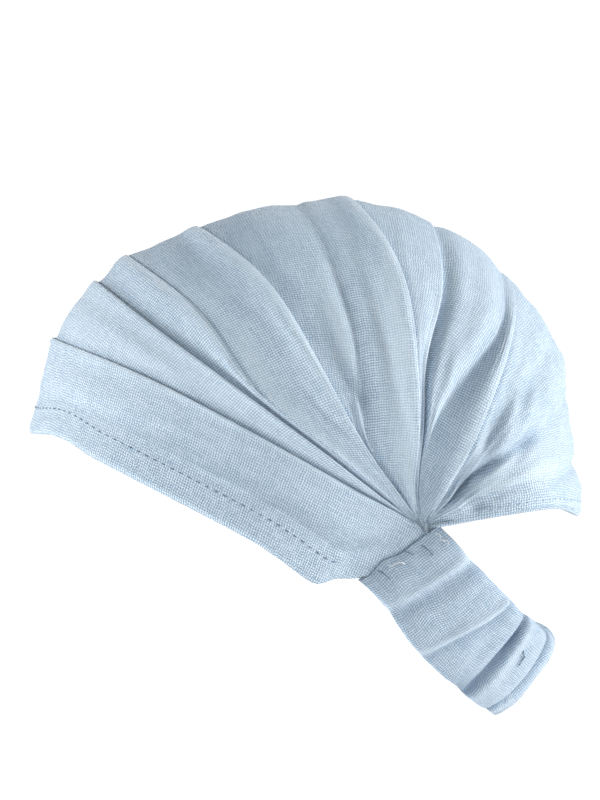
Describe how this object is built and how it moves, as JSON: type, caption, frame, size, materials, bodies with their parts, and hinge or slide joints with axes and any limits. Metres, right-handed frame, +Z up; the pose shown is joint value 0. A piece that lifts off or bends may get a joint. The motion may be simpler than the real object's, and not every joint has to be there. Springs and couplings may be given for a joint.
{
  "type": "elasticated head kerchief",
  "caption": "Pleated cotton head kerchief in its worn form: a cloth crown gathered at both sides into a ruched elastic band round the nape.",
  "frame": {"origin": "midway between the two side gathers, on the line that all the pleats fan out from, in the middle of the head that wears it", "axes": "+X to the wearer's left, +Y to the back of the head, +Z up through the crown"},
  "size_m": [0.1518, 0.1888, 0.1801],
  "materials": {
    "crown_cloth": "pale powder-blue plain-weave cotton muslin, matt",
    "front_hem": "the same cotton muslin, turned in",
    "back_hem": "the same cotton muslin, turned in",
    "nape_band": "the same cotton muslin, ruched as a casing"
  },
  "bodies": {
    "root": {"crown_cloth": "crown_cloth", "front_hem": "front_hem", "back_hem": "back_hem", "nape_band": "nape_band"}
  },
  "joints": []
}
